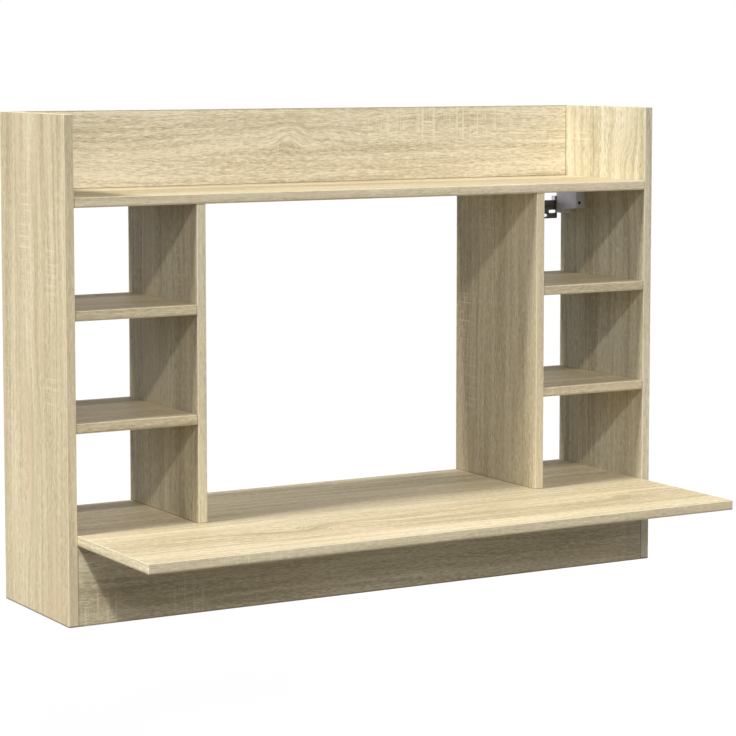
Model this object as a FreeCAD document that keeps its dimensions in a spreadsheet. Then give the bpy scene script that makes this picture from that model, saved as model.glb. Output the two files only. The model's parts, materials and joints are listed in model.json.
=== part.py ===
import FreeCAD, Part
import os

import Sketcher
from FreeCAD import Rotation, Vector

# A wall desk of flat-pack boards, hung on two adjustable cabinet hangers.
# Frame: +X to the right, the front faces -Y, the wall is the plane y = 0 and +Z is up.
# The origin lies on the wall, midway between the outer slots of the two wall plates.

SIZES = {
    # Boards
    "board": 15,                # thickness of every board
    "edge_round": 1,            # rounding of the banded edges
    "knee_width": 600,          # clear width between the dividers
    "bay_width": 200,           # clear width of each side bay
    "shelf_gap": 152,           # clear height of each pigeonhole
    "apron_height": 122,
    "back_height": 122,
    "side_depth": 245,          # depth of the sides, dividers and shelves
    "desk_depth": 490,
    # Joints between boards
    "station_inset": 37,        # first fastener from a board's front or back edge
    "station_pitch": 32,        # from one fastener to the next
    "rail_dowel_near": 150,     # apron and back panel dowels, from the middle of the desk
    "rail_dowel_inset": 115,    # apron and back panel dowels, from the side panels
    "bore_play": 0.1,           # radial room of a fastener in its bore
    "bore_spare": 0.5,          # extra depth of a blind bore
    "dowel_diameter": 8,
    "dowel_face_depth": 10,     # length in the board that is met on its face
    "dowel_edge_depth": 20,     # length in the board that is met on its edge
    "dowel_chamfer": 1,
    # Cam bolts and cam locks
    "cam_setback": 24,          # lock axis from the end of its board
    "cam_thread": 5,
    "cam_thread_length": 10,
    "cam_shank": 6,
    "cam_neck": 4,
    "cam_neck_length": 3,
    "cam_head": 7,
    "cam_head_length": 4,
    "cam_head_play": 0.5,       # room round the bolt in the lock and in the board's end
    "lock_diameter": 15,
    "lock_height": 12,
    "lock_cross_length": 9,
    "lock_cross_width": 2,
    "lock_cross_depth": 2,
    # Screws through the shelf and the desk board into the dividers, and their caps
    "screw_diameter": 6,
    "screw_length": 50,
    "screw_point": 5,
    "screw_head": 10,
    "screw_head_height": 4,
    "screw_socket": 4,          # across the flats
    "screw_socket_depth": 2.5,
    "cap_diameter": 13,
    "cap_thickness": 1,
    "cap_round": 0.4,
    "cap_peg_length": 2,
    # Hanger housing
    "hanger_gap": 0.5,          # from the top shelf down to the housing
    "housing_width": 17,
    "housing_wall": 2,
    "housing_length": 60,
    "housing_setback": 11,      # from the wall plane to the back of the housing
    "housing_height": 38,       # at the front
    "belly_height": 42,         # beside the heel
    "heel_height": 49,
    "heel_length": 20,
    "heel_round": 6,
    "housing_round": 1,
    "heel_slot_width": 6,       # way for the key to the height screw
    "peg_diameter": 8,
    "peg_length": 12,           # length of the fixing pegs in the side panel
    "peg_gap": 1.5,             # from a peg to the wall or carriage beside it
    # Hanger carriage
    "slide_play": 0.3,          # room between sliding faces
    "carriage_setback": 17,     # from the wall plane to the back of the carriage
    "carriage_length": 25,
    "carriage_web": 6,
    "carriage_flange": 2.8,
    # Adjusting screws
    "running_play": 0.05,       # radial room of a turning screw in its hole
    "adjuster": 4,              # thread diameter
    "key_socket": 2.5,          # across the flats
    "key_socket_depth": 2.2,
    "journal": 5.6,             # front end of the depth screw, seen in the housing's front
    "journal_recess": 0.3,
    "collar": 9,
    "collar_length": 1.8,
    "collar_play": 0.2,
    "depth_screw_rise": 6.5,    # axis above the housing's floor
    "depth_travel": 12,
    "height_screw_inset": 8,    # axis from the back of the carriage
    "height_head": 7,
    "height_head_length": 3,
    "height_ring_length": 0.8,
    "height_screw_gap": 0.5,    # from the screw's head to the side panel
    # Hook
    "hook_drop": 27.5,          # from the housing's top down to the underside of the hook
    "hook_height": 7.5,
    "hook_gap": 0.7,            # from the hook to the side panel
    "tail_gap": 0.6,            # from the hook's tail to the depth screw
    "claw_gap": 0.5,            # from the housing's back to the claw
    "claw_reach": 3,            # past the outer face of the housing
    "nose_length": 7.5,
    "nose_thickness": 2.5,
    # Wall plate
    "plate_inset": 9,           # from the side panel to the plate's end
    "plate_width": 64,
    "plate_thickness": 2,
    "plate_top": 20,            # top edge above the outer slots
    "plate_bottom": 12,         # bottom edge below the outer slots
    "plate_step": 3.2,          # how far the lip stands off the wall
    "plate_step_height": 3,
    "lip_height": 8,
    "plate_corner": 2,
    "slot_inset": 10,           # slot centres from the plate's ends
    "slot_length": 15,
    "slot_width": 5.5,
    "low_slot_drop": 6.5,
    "low_slot_length": 23,
    "low_slot_width": 5.2,
}

doc = FreeCAD.newDocument("WallDesk")
sheet = doc.addObject("Spreadsheet::Sheet", "Sizes")
for row, (alias, value) in enumerate(SIZES.items(), 1):
    sheet.set(f"A{row}", alias)
    sheet.set(f"B{row}", str(value))
    sheet.setAlias(f"B{row}", alias)
doc.recompute()

# Places worked out from the sizes, as expressions
DIVIDER_IN = "(Sizes.knee_width / 2)"
DIVIDER_OUT = "(Sizes.knee_width / 2 + Sizes.board)"
DIVIDER_MIDDLE = "(Sizes.knee_width / 2 + Sizes.board / 2)"
SIDE_IN = "(Sizes.knee_width / 2 + Sizes.board + Sizes.bay_width)"
SIDE_OUT = "(Sizes.knee_width / 2 + 2 * Sizes.board + Sizes.bay_width)"

HOUSING_TOP = "(Sizes.hook_drop + Sizes.plate_top)"
SHELF_UNDER = f"({HOUSING_TOP} + Sizes.hanger_gap)"
SHELF_OVER = f"({SHELF_UNDER} + Sizes.board)"
TOP = f"({SHELF_OVER} + Sizes.back_height)"
UPPER_SHELF = f"({SHELF_UNDER} - Sizes.shelf_gap - Sizes.board)"
LOWER_SHELF = f"({UPPER_SHELF} - Sizes.shelf_gap - Sizes.board)"
DESK_OVER = f"({LOWER_SHELF} - Sizes.shelf_gap)"
DESK_UNDER = f"({DESK_OVER} - Sizes.board)"
BOTTOM = f"({DESK_UNDER} - Sizes.apron_height)"

HALF_BOARD = "Sizes.board / 2"
FRONT_STATION = "(-Sizes.side_depth + Sizes.station_inset)"
BACK_STATION = "(-Sizes.station_inset)"
FRONT_DOWEL = f"({FRONT_STATION} + Sizes.station_pitch)"
BACK_DOWEL = f"({BACK_STATION} - Sizes.station_pitch)"
MID_STATION = "(-Sizes.side_depth / 2)"

TURNS = {
    "+X": Rotation(Vector(0, 1, 0), 90),
    "-X": Rotation(Vector(0, 1, 0), -90),
    "+Y": Rotation(Vector(1, 0, 0), -90),
    "-Y": Rotation(Vector(1, 0, 0), 90),
    "+Z": Rotation(),
    "-Z": Rotation(Vector(1, 0, 0), 180),
}
OPPOSITE = {"+X": "-X", "-X": "+X", "+Y": "-Y", "-Y": "+Y", "+Z": "-Z", "-Z": "+Z"}
HALF_TURN = Rotation(Vector(0, 0, 1), 180)
ALIGNED = 0.999                 # least cosine between an edge and the axis it runs along
NEAR = 0.01                     # distance under which two places count as one
SIDES = {"left": "-", "right": "+"}

subparts = []


# Helpers

def keep(obj, label):
    """Name an object as a finished sub-part."""
    obj.Label = label
    subparts.append(obj)
    return obj


def place(obj, point, turn=Rotation()):
    """Turn an object and tie its position to three expressions."""
    obj.Placement = FreeCAD.Placement(Vector(), turn)
    for axis, value in zip("xyz", point):
        obj.setExpression(f"Placement.Base.{axis}", value)


def moved(point, direction, distance):
    """The point shifted along a direction such as +X."""
    axis = "XYZ".index(direction[1])
    shifted = list(point)
    shifted[axis] = f"{point[axis]} {direction[0]} ({distance})"
    return tuple(shifted)


def everywhere(middle):
    return True


def edge_names(feature, axis, wanted=everywhere):
    """Names of a feature's straight edges along one axis whose middle is wanted."""
    line = {"X": Vector(1, 0, 0), "Y": Vector(0, 1, 0), "Z": Vector(0, 0, 1)}[axis]
    names = []
    for number, edge in enumerate(feature.Shape.Edges, 1):
        straight = edge.Curve.TypeId == "Part::GeomLine"
        along = straight and abs(edge.tangentAt(edge.FirstParameter).dot(line)) > ALIGNED
        if along and wanted(edge.CenterOfMass):
            names.append(f"Edge{number}")
    return names


def solid_of(body, kind, sizes, point, turn=Rotation()):
    """Add a primitive such as AdditiveBox to a body, with its sizes and place tied to expressions."""
    feature = body.newObject(f"PartDesign::{kind}", f"{body.Name}_{kind}")
    for name, value in sizes.items():
        feature.setExpression(name, value)
    place(feature, point, turn)
    return feature


def box(body, kind, corner, size):
    """Add or cut a box, given its lowest corner and its size along X, Y and Z."""
    return solid_of(body, kind, dict(zip(("Length", "Width", "Height"), size)), corner)


def drill(body, mouth, into, diameter, depth):
    """Cut a round bore from a point on a face."""
    sizes = {"Radius": f"({diameter}) / 2", "Height": depth}
    return solid_of(body, "SubtractiveCylinder", sizes, mouth, TURNS[into])


def soften(body, feature, names, radius):
    """Round the named edges of a body's last feature."""
    rounded = body.newObject("PartDesign::Fillet", f"{body.Name}_rounding")
    rounded.Base = (feature, names)
    rounded.setExpression("Radius", radius)
    return rounded


def outline(body, plane, points, offset="0"):
    """A closed sketch of straight lines on one of a body's own planes, each corner tied to expressions."""
    sketch = body.newObject("Sketcher::SketchObject", f"{body.Name}_outline")
    support = [feature for feature in body.Origin.OriginFeatures if feature.Role == plane][0]
    sketch.AttachmentSupport = (support, [""])
    sketch.MapMode = "FlatFace"
    sketch.setExpression("AttachmentOffset.Base.z", offset)
    count = len(points)
    circle = [Vector(1, 0, 0), Vector(0, 1, 0), Vector(-1, 0, 0), Vector(0, -1, 0)]
    start = [circle[number % 4] * (number + 1) for number in range(count)]
    for number in range(count):
        sketch.addGeometry(Part.LineSegment(start[number], start[(number + 1) % count]), False)
    for number in range(count):
        sketch.addConstraint(Sketcher.Constraint("Coincident", number, 2, (number + 1) % count, 1))
    for number, corner in enumerate(points):
        for kind, value in zip(("DistanceX", "DistanceY"), corner):
            tie = sketch.addConstraint(Sketcher.Constraint(kind, -1, 1, number, 1, 1.0))
            sketch.setExpression(f"Constraints[{tie}]", value)
    return sketch


def padded(body, points, length, offset="0"):
    """Pad an outline in the YZ plane along +X."""
    pad = body.newObject("PartDesign::Pad", f"{body.Name}_pad")
    pad.Profile = outline(body, "YZ_Plane", points, offset)
    pad.setExpression("Length", length)
    return pad


def pocketed(body, points, depth, offset="0"):
    """Cut an outline in the YZ plane along +X."""
    pocket = body.newObject("PartDesign::Pocket", f"{body.Name}_pocket")
    pocket.Profile = outline(body, "YZ_Plane", points, offset)
    pocket.Reversed = True
    pocket.setExpression("Length", depth)
    return pocket


def turned(label, points):
    """A body turned about its own Z axis from an outline of radius and height."""
    body = doc.addObject("PartDesign::Body", label)
    spin = body.newObject("PartDesign::Revolution", f"{label}_turning")
    spin.Profile = outline(body, "XZ_Plane", points)
    spin.ReferenceAxis = (spin.Profile[0], ["V_Axis"])
    spin.Angle = 360
    return body


def hex_socket(body, width, depth, point=("0", "0", "0"), turn=Rotation()):
    """Cut a hexagonal key socket of a width across the flats."""
    sizes = {"Circumradius": f"{width} / 2 / cos(30)", "Height": depth}
    return solid_of(body, "SubtractivePrism", sizes, point, turn)


# Fasteners: one of each kind, and a group that gathers its copies

def dowel_shape():
    radius = "Sizes.dowel_diameter / 2"
    tip = f"{radius} - Sizes.dowel_chamfer"
    low = "-Sizes.dowel_face_depth"
    high = "Sizes.dowel_edge_depth"
    return turned("one_dowel", [
        ("0", low), (tip, low), (radius, f"{low} + Sizes.dowel_chamfer"),
        (radius, f"{high} - Sizes.dowel_chamfer"), (tip, high), ("0", high),
    ])


CAM_HEAD_START = "(Sizes.cam_setback - Sizes.cam_head_length / 2)"
CAM_HEAD_END = "(Sizes.cam_setback + Sizes.cam_head_length / 2)"


def cam_bolt_shape():
    thread = "Sizes.cam_thread / 2"
    shank = "Sizes.cam_shank / 2"
    neck = "Sizes.cam_neck / 2"
    head = "Sizes.cam_head / 2"
    neck_start = f"{CAM_HEAD_START} - Sizes.cam_neck_length"
    low = "-Sizes.cam_thread_length"
    return turned("one_cam_bolt", [
        ("0", low), (thread, low), (thread, "0"), (shank, "0"), (shank, neck_start), (neck, neck_start),
        (neck, CAM_HEAD_START), (head, CAM_HEAD_START), (head, CAM_HEAD_END), ("0", CAM_HEAD_END),
    ])


def cam_lock_shape():
    """A round lock, its axis along Z from its open face, with a way for the bolt on its -X side."""
    body = doc.addObject("PartDesign::Body", "one_cam_lock")
    drum = {"Radius": "Sizes.lock_diameter / 2", "Height": "Sizes.lock_height"}
    solid_of(body, "AdditiveCylinder", drum, ("0", "0", "0"))
    way = "(Sizes.cam_head + 2 * Sizes.cam_head_play)"
    reach = "(Sizes.lock_diameter / 2 + Sizes.cam_head_length / 2 + Sizes.cam_head_play)"
    way_corner = ("-Sizes.lock_diameter / 2", f"-{way} / 2", f"{HALF_BOARD} - {way} / 2")
    box(body, "SubtractiveBox", way_corner, (reach, way, way))
    long_side = "Sizes.lock_cross_length"
    short_side = "Sizes.lock_cross_width"
    for along_x, along_y in ((long_side, short_side), (short_side, long_side)):
        corner = (f"-{along_x} / 2", f"-{along_y} / 2", "0")
        box(body, "SubtractiveBox", corner, (along_x, along_y, "Sizes.lock_cross_depth"))
    return body


def divider_screw_shape():
    """A countersunk screw, its axis along Z from its flat head."""
    shank = "Sizes.screw_diameter / 2"
    body = turned("one_divider_screw", [
        ("0", "0"), ("Sizes.screw_head / 2", "0"), (shank, "Sizes.screw_head_height"),
        (shank, "Sizes.screw_length - Sizes.screw_point"), ("0", "Sizes.screw_length"),
    ])
    hex_socket(body, "Sizes.screw_socket", "Sizes.screw_socket_depth")
    return body


def screw_cap_shape():
    """A thin round cap that lies on the board, with a peg that fills the screw's socket."""
    rim = "Sizes.cap_diameter / 2"
    peg = "(Sizes.screw_socket / 2 - Sizes.bore_play)"
    return turned("one_screw_cap", [
        ("0", "-Sizes.cap_thickness"), (f"{rim} - Sizes.cap_round", "-Sizes.cap_thickness"),
        (rim, "-Sizes.cap_thickness + Sizes.cap_round"), (rim, "0"), (peg, "0"),
        (peg, "Sizes.cap_peg_length"), ("0", "Sizes.cap_peg_length"),
    ])


FASTENERS = {
    "dowels": dowel_shape(),
    "cam_bolts": cam_bolt_shape(),
    "cam_locks": cam_lock_shape(),
    "divider_screws": divider_screw_shape(),
    "screw_caps": screw_cap_shape(),
}
copies = {group: [] for group in FASTENERS}


def fasten(group, point, turn):
    """Put one more copy of a fastener in its group."""
    copy = doc.addObject("App::Link", f"{group}_{len(copies[group]) + 1}")
    copy.LinkedObject = FASTENERS[group]
    place(copy, point, turn)
    copies[group].append(copy)


def dowel_joint(face_board, edge_board, point, into):
    """A dowel across a joint; the point lies on the joint and the direction leads into the edge."""
    bore = "Sizes.dowel_diameter + 2 * Sizes.bore_play"
    drill(face_board, point, OPPOSITE[into], bore, "Sizes.dowel_face_depth + Sizes.bore_spare")
    drill(edge_board, point, into, bore, "Sizes.dowel_edge_depth + Sizes.bore_spare")
    fasten("dowels", point, TURNS[into])


def cam_joint(face_board, edge_board, point, into, lock_into):
    """A cam bolt across a joint and the cam lock that draws it tight."""
    thread_bore = "Sizes.cam_thread + 2 * Sizes.bore_play"
    bolt_bore = "Sizes.cam_head + 2 * Sizes.cam_head_play"
    lock_bore = "Sizes.lock_diameter + 2 * Sizes.bore_play"
    drill(face_board, point, OPPOSITE[into], thread_bore, "Sizes.cam_thread_length + Sizes.bore_spare")
    drill(edge_board, point, into, bolt_bore, "Sizes.cam_setback")
    mouth = moved(moved(point, into, "Sizes.cam_setback"), OPPOSITE[lock_into], HALF_BOARD)
    drill(edge_board, mouth, lock_into, lock_bore, "Sizes.lock_height + Sizes.bore_spare")
    fasten("cam_bolts", point, TURNS[into])
    spin = Rotation() if into == "+X" else HALF_TURN
    fasten("cam_locks", mouth, TURNS[lock_into].multiply(spin))


def screw_joint(face_board, edge_board, point, into):
    """A countersunk screw through one board into the edge of the next."""
    bore = "(Sizes.screw_diameter + 2 * Sizes.bore_play)"
    head = moved(point, OPPOSITE[into], "Sizes.board")
    drill(face_board, head, into, bore, "Sizes.board")
    sink = {
        "Radius1": "Sizes.screw_head / 2 + Sizes.bore_play",
        "Radius2": f"{bore} / 2",
        "Height": "Sizes.screw_head_height",
    }
    solid_of(face_board, "SubtractiveCone", sink, head, TURNS[into])
    drill(edge_board, point, into, bore, "Sizes.screw_length - Sizes.board + Sizes.bore_spare")
    fasten("divider_screws", head, TURNS[into])
    return head


# Boards

def board(label, corner, size, rounded_edges):
    """A board with its banded edges rounded: a list of axes, each with a test for its edges."""
    body = keep(doc.addObject("PartDesign::Body", label), label)
    blank = box(body, "AdditiveBox", corner, size)
    doc.recompute()
    names = []
    for axis, wanted in rounded_edges:
        names += edge_names(blank, axis, wanted)
    soften(body, blank, names, "Sizes.edge_round")
    return body


def value_of(expression):
    """The present value of an expression."""
    return float(sheet.evalExpression(expression))


ALL_ROUND = [("X", everywhere), ("Y", everywhere), ("Z", everywhere)]
LENGTHWISE = [("X", everywhere)]
UPRIGHT = [("Z", everywhere)]
FULL_WIDTH = f"2 * {SIDE_IN}"
SIDE_FRONT = "-Sizes.side_depth"


def top_edges(middle):
    return middle.z > value_of(SHELF_OVER) + value_of("Sizes.board")


def bottom_edges(middle):
    return middle.z < value_of(DESK_UNDER) - value_of("Sizes.board")


top_shelf = board(
    "top_shelf", (f"-{SIDE_IN}", SIDE_FRONT, SHELF_UNDER),
    (FULL_WIDTH, "Sizes.side_depth", "Sizes.board"), LENGTHWISE)
desk_board = board(
    "desk_board", (f"-{SIDE_IN}", "-Sizes.desk_depth", DESK_UNDER),
    (FULL_WIDTH, "Sizes.desk_depth", "Sizes.board"), ALL_ROUND)
upper_back_panel = board(
    "upper_back_panel", (f"-{SIDE_IN}", "-Sizes.board", SHELF_OVER),
    (FULL_WIDTH, "Sizes.board", "Sizes.back_height"), [("X", top_edges)])
front_apron = board(
    "front_apron", (f"-{SIDE_IN}", SIDE_FRONT, BOTTOM),
    (FULL_WIDTH, "Sizes.board", "Sizes.apron_height"), [("X", bottom_edges)])

side_panels = {}
for side, sign in SIDES.items():
    inward = OPPOSITE[f"{sign}X"]
    panel_corner = f"-{SIDE_OUT}" if side == "left" else SIDE_IN
    divider_corner = f"-{DIVIDER_OUT}" if side == "left" else DIVIDER_IN
    shelf_corner = f"-{SIDE_IN}" if side == "left" else DIVIDER_OUT
    panel = board(
        f"{side}_side_panel", (panel_corner, SIDE_FRONT, BOTTOM),
        ("Sizes.board", "Sizes.side_depth", f"{TOP} - {BOTTOM}"), ALL_ROUND)
    divider = board(
        f"{side}_divider", (divider_corner, SIDE_FRONT, DESK_OVER),
        ("Sizes.board", "Sizes.side_depth", f"{SHELF_UNDER} - {DESK_OVER}"), UPRIGHT)
    side_panels[side] = panel

    # Top shelf and desk board against the side panel
    side_face = f"{sign}{SIDE_IN}"
    for flat_board, under in ((top_shelf, SHELF_UNDER), (desk_board, DESK_UNDER)):
        middle = f"{under} + {HALF_BOARD}"
        for station in (FRONT_STATION, BACK_STATION):
            cam_joint(panel, flat_board, (side_face, station, middle), inward, "+Z")
        for station in (FRONT_DOWEL, BACK_DOWEL):
            dowel_joint(panel, flat_board, (side_face, station, middle), inward)

    # Apron and upper back panel against the side panel, their locks on the rear faces
    apron_line = (f"{SIDE_FRONT} + {HALF_BOARD}", f"{BOTTOM} + Sizes.apron_height / 2")
    back_line = (f"-{HALF_BOARD}", f"{SHELF_OVER} + Sizes.back_height / 2")
    for rail, (depth, height) in ((front_apron, apron_line), (upper_back_panel, back_line)):
        cam_joint(panel, rail, (side_face, depth, height), inward, "-Y")
        for step in ("-", "+"):
            dowel_joint(panel, rail, (side_face, depth, f"{height} {step} Sizes.station_pitch"), inward)

    # Apron under the desk board, and upper back panel on the top shelf
    for distance in ("Sizes.rail_dowel_near", f"({SIDE_IN} - Sizes.rail_dowel_inset)"):
        rail_place = f"{sign}{distance}"
        dowel_joint(desk_board, front_apron, (rail_place, apron_line[0], DESK_UNDER), "-Z")
        dowel_joint(top_shelf, upper_back_panel, (rail_place, back_line[0], SHELF_OVER), "+Z")

    # Divider between the desk board and the top shelf
    middle = f"{sign}{DIVIDER_MIDDLE}"
    dowel_joint(top_shelf, divider, (middle, MID_STATION, SHELF_UNDER), "-Z")
    dowel_joint(desk_board, divider, (middle, MID_STATION, DESK_OVER), "+Z")
    for station in (FRONT_STATION, BACK_STATION):
        screw_joint(desk_board, divider, (middle, station, DESK_OVER), "+Z")
        head = screw_joint(top_shelf, divider, (middle, station, SHELF_UNDER), "-Z")
        fasten("screw_caps", head, TURNS["-Z"])

    # Small shelves between the side panel and the divider
    for level, under in (("upper", UPPER_SHELF), ("lower", LOWER_SHELF)):
        shelf = board(
            f"{side}_{level}_shelf", (shelf_corner, SIDE_FRONT, under),
            ("Sizes.bay_width", "Sizes.side_depth", "Sizes.board"), LENGTHWISE)
        height = f"{under} + {HALF_BOARD}"
        divider_face = f"{sign}{DIVIDER_OUT}"
        for upright, face, into in ((panel, side_face, inward), (divider, divider_face, f"{sign}X")):
            cam_joint(upright, shelf, (face, MID_STATION, height), into, "+Z")
            for station in (FRONT_DOWEL, BACK_DOWEL):
                dowel_joint(upright, shelf, (face, station, height), into)

for group, members in copies.items():
    bundle = keep(doc.addObject("Part::Compound", group), group)
    bundle.Links = members

# Places in the left hanger; those across the housing count from the side panel's inner face
HOUSING_FRONT = "(-Sizes.housing_setback - Sizes.housing_length)"
HOUSING_BACK = "(-Sizes.housing_setback)"
CAVITY_WIDTH = "(Sizes.housing_width - Sizes.housing_wall)"
CAVITY_TOP = f"({HOUSING_TOP} - Sizes.housing_wall)"
CAVITY_FLOOR = f"({HOUSING_TOP} - Sizes.housing_height + Sizes.housing_wall)"
HEEL_BOTTOM = f"({HOUSING_TOP} - Sizes.heel_height)"
HEEL_FLOOR = f"({HEEL_BOTTOM} + Sizes.housing_wall)"
HEEL_FRONT = f"({HOUSING_BACK} - Sizes.heel_length)"
CARRIAGE_BACK = "(-Sizes.carriage_setback)"
CARRIAGE_FRONT = f"({CARRIAGE_BACK} - Sizes.carriage_length)"
WEB_BACK = f"({CARRIAGE_FRONT} + Sizes.carriage_web)"
CARRIAGE_LOW = f"({CAVITY_FLOOR} + Sizes.slide_play)"
CARRIAGE_HIGH = f"({CAVITY_TOP} - Sizes.slide_play)"
DEPTH_SCREW_ACROSS = f"({CAVITY_WIDTH} - Sizes.collar / 2 - Sizes.slide_play - Sizes.collar_play)"
DEPTH_SCREW_HEIGHT = f"({CAVITY_FLOOR} + Sizes.depth_screw_rise)"
COLLAR_FRONT = f"({HOUSING_FRONT} + Sizes.housing_wall + Sizes.collar_play)"
COLLAR_BACK = f"({COLLAR_FRONT} + Sizes.collar_length)"
HEIGHT_SCREW_ACROSS = "(Sizes.height_screw_gap + Sizes.height_head / 2)"
HEIGHT_SCREW_DEPTH = f"({CARRIAGE_BACK} - Sizes.height_screw_inset)"
PEG_HEIGHT = f"({CAVITY_TOP} - Sizes.peg_gap - Sizes.peg_diameter / 2)"
FRONT_PEG = f"({HOUSING_FRONT} + Sizes.housing_wall + Sizes.peg_gap + Sizes.peg_diameter / 2)"
BACK_PEG = f"({CARRIAGE_FRONT} - Sizes.peg_gap - Sizes.peg_diameter / 2)"
PEGS = (FRONT_PEG, BACK_PEG)
HOOK_UNDER = "Sizes.plate_top"
RUNNING_HOLE = "Sizes.adjuster + 2 * Sizes.running_play"


def across(distance):
    """A place along X, counted from the left side panel's inner face into the bay."""
    return f"-{SIDE_IN} + {distance}"


def hanger_housing():
    """A shell open to the side panel and the wall, with two pegs and a rib for the depth screw."""
    body = doc.addObject("PartDesign::Body", "left_hanger_housing")
    belly = f"({HOUSING_TOP} - Sizes.belly_height)"
    shell = padded(body, [
        (HOUSING_FRONT, HOUSING_TOP), (HOUSING_FRONT, f"{HOUSING_TOP} - Sizes.housing_height"),
        (HEEL_FRONT, belly), (HEEL_FRONT, HEEL_BOTTOM), (HOUSING_BACK, HEEL_BOTTOM),
        (HOUSING_BACK, HOUSING_TOP),
    ], "Sizes.housing_width", across("0"))
    doc.recompute()
    corner_depth = value_of(HEEL_FRONT)
    corner_height = value_of(belly)
    heel_corner = edge_names(
        shell, "X", lambda middle: abs(middle.y - corner_depth) + abs(middle.z - corner_height) < NEAR)
    rounded_heel = soften(body, shell, heel_corner, "Sizes.heel_round")
    doc.recompute()
    outer_face = value_of(across("Sizes.housing_width"))
    rim = [
        f"Edge{number}" for number, edge in enumerate(rounded_heel.Shape.Edges, 1)
        if abs(edge.BoundBox.XMin - outer_face) + abs(edge.BoundBox.XMax - outer_face) < NEAR
    ]
    soften(body, rounded_heel, rim, "Sizes.housing_round")

    inner_front = f"({HOUSING_FRONT} + Sizes.housing_wall)"
    inner_heel = f"({HEEL_FRONT} + Sizes.housing_wall)"
    past_back = f"({HOUSING_BACK} + Sizes.housing_wall)"
    pocketed(body, [
        (inner_front, CAVITY_TOP), (inner_front, CAVITY_FLOOR), (inner_heel, CAVITY_FLOOR),
        (inner_heel, HEEL_FLOOR), (past_back, HEEL_FLOOR), (past_back, CAVITY_TOP),
    ], CAVITY_WIDTH, across("0"))

    for peg in PEGS:
        size = {
            "Radius": "Sizes.peg_diameter / 2",
            "Height": "Sizes.peg_length + Sizes.housing_width - Sizes.housing_wall / 2",
        }
        start = (across("-Sizes.peg_length"), peg, PEG_HEIGHT)
        solid_of(body, "AdditiveCylinder", size, start, TURNS["+X"])

    rib_low = f"({CAVITY_FLOOR} - Sizes.housing_wall / 2)"
    rib_high = f"({DEPTH_SCREW_HEIGHT} + Sizes.collar / 2)"
    rib_near = f"({DEPTH_SCREW_ACROSS} - Sizes.collar / 2)"
    rib_front = f"{COLLAR_BACK} + Sizes.collar_play"
    way = "(Sizes.adjuster + 2 * Sizes.slide_play)"
    rib_width = f"{CAVITY_WIDTH} + Sizes.housing_wall / 2 - {rib_near}"
    box(body, "AdditiveBox", (across(rib_near), rib_front, rib_low),
        (rib_width, "Sizes.housing_wall", f"{rib_high} - {rib_low}"))
    box(body, "SubtractiveBox", (across(rib_near), rib_front, f"{DEPTH_SCREW_HEIGHT} - {way} / 2"),
        (f"{DEPTH_SCREW_ACROSS} - {rib_near}", "Sizes.housing_wall", way))
    drill(body, (across(DEPTH_SCREW_ACROSS), rib_front, DEPTH_SCREW_HEIGHT), "+Y", way, "Sizes.housing_wall")
    drill(body, (across(DEPTH_SCREW_ACROSS), HOUSING_FRONT, DEPTH_SCREW_HEIGHT), "+Y",
          "Sizes.journal + 2 * Sizes.running_play", "Sizes.housing_wall")

    slot_front = f"({HEIGHT_SCREW_DEPTH} - Sizes.heel_slot_width / 2)"
    slot_near = f"{HEIGHT_SCREW_ACROSS} - Sizes.heel_slot_width / 2"
    box(body, "SubtractiveBox", (across(slot_near), slot_front, HEEL_BOTTOM),
        ("Sizes.heel_slot_width", f"{HOUSING_BACK} - {slot_front}", "Sizes.housing_wall"))
    return body


def hanger_carriage():
    """A C-shaped slide: a web on the depth screw and two flanges that hold the height screw."""
    body = doc.addObject("PartDesign::Body", "left_hanger_carriage")
    low_flange = f"({CARRIAGE_LOW} + Sizes.carriage_flange)"
    high_flange = f"({CARRIAGE_HIGH} - Sizes.carriage_flange)"
    padded(body, [
        (CARRIAGE_FRONT, CARRIAGE_LOW), (CARRIAGE_BACK, CARRIAGE_LOW), (CARRIAGE_BACK, low_flange),
        (WEB_BACK, low_flange), (WEB_BACK, high_flange), (CARRIAGE_BACK, high_flange),
        (CARRIAGE_BACK, CARRIAGE_HIGH), (CARRIAGE_FRONT, CARRIAGE_HIGH),
    ], f"{CAVITY_WIDTH} - 2 * Sizes.slide_play", across("Sizes.slide_play"))
    drill(body, (across(DEPTH_SCREW_ACROSS), CARRIAGE_FRONT, DEPTH_SCREW_HEIGHT), "+Y",
          RUNNING_HOLE, "Sizes.carriage_web")
    drill(body, (across(HEIGHT_SCREW_ACROSS), HEIGHT_SCREW_DEPTH, CARRIAGE_LOW), "+Z",
          RUNNING_HOLE, f"{CARRIAGE_HIGH} - {CARRIAGE_LOW}")
    return body


def depth_screw():
    """Turned along Y: a journal in the housing's front, a collar that holds it and a long thread."""
    front = f"({HOUSING_FRONT} + Sizes.journal_recess)"
    collar_low = f"({COLLAR_FRONT} - {front})"
    collar_high = f"({COLLAR_BACK} - {front})"
    tip = f"({WEB_BACK} + Sizes.depth_travel - {front})"
    thread = "Sizes.adjuster / 2"
    body = turned("left_depth_screw", [
        ("0", "0"), ("Sizes.journal / 2", "0"), ("Sizes.journal / 2", collar_low),
        ("Sizes.collar / 2", collar_low), ("Sizes.collar / 2", collar_high), (thread, collar_high),
        (thread, tip), ("0", tip),
    ])
    hex_socket(body, "Sizes.key_socket", "Sizes.key_socket_depth")
    place(body, (across(DEPTH_SCREW_ACROSS), front, DEPTH_SCREW_HEIGHT), TURNS["+Y"])
    return body


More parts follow.
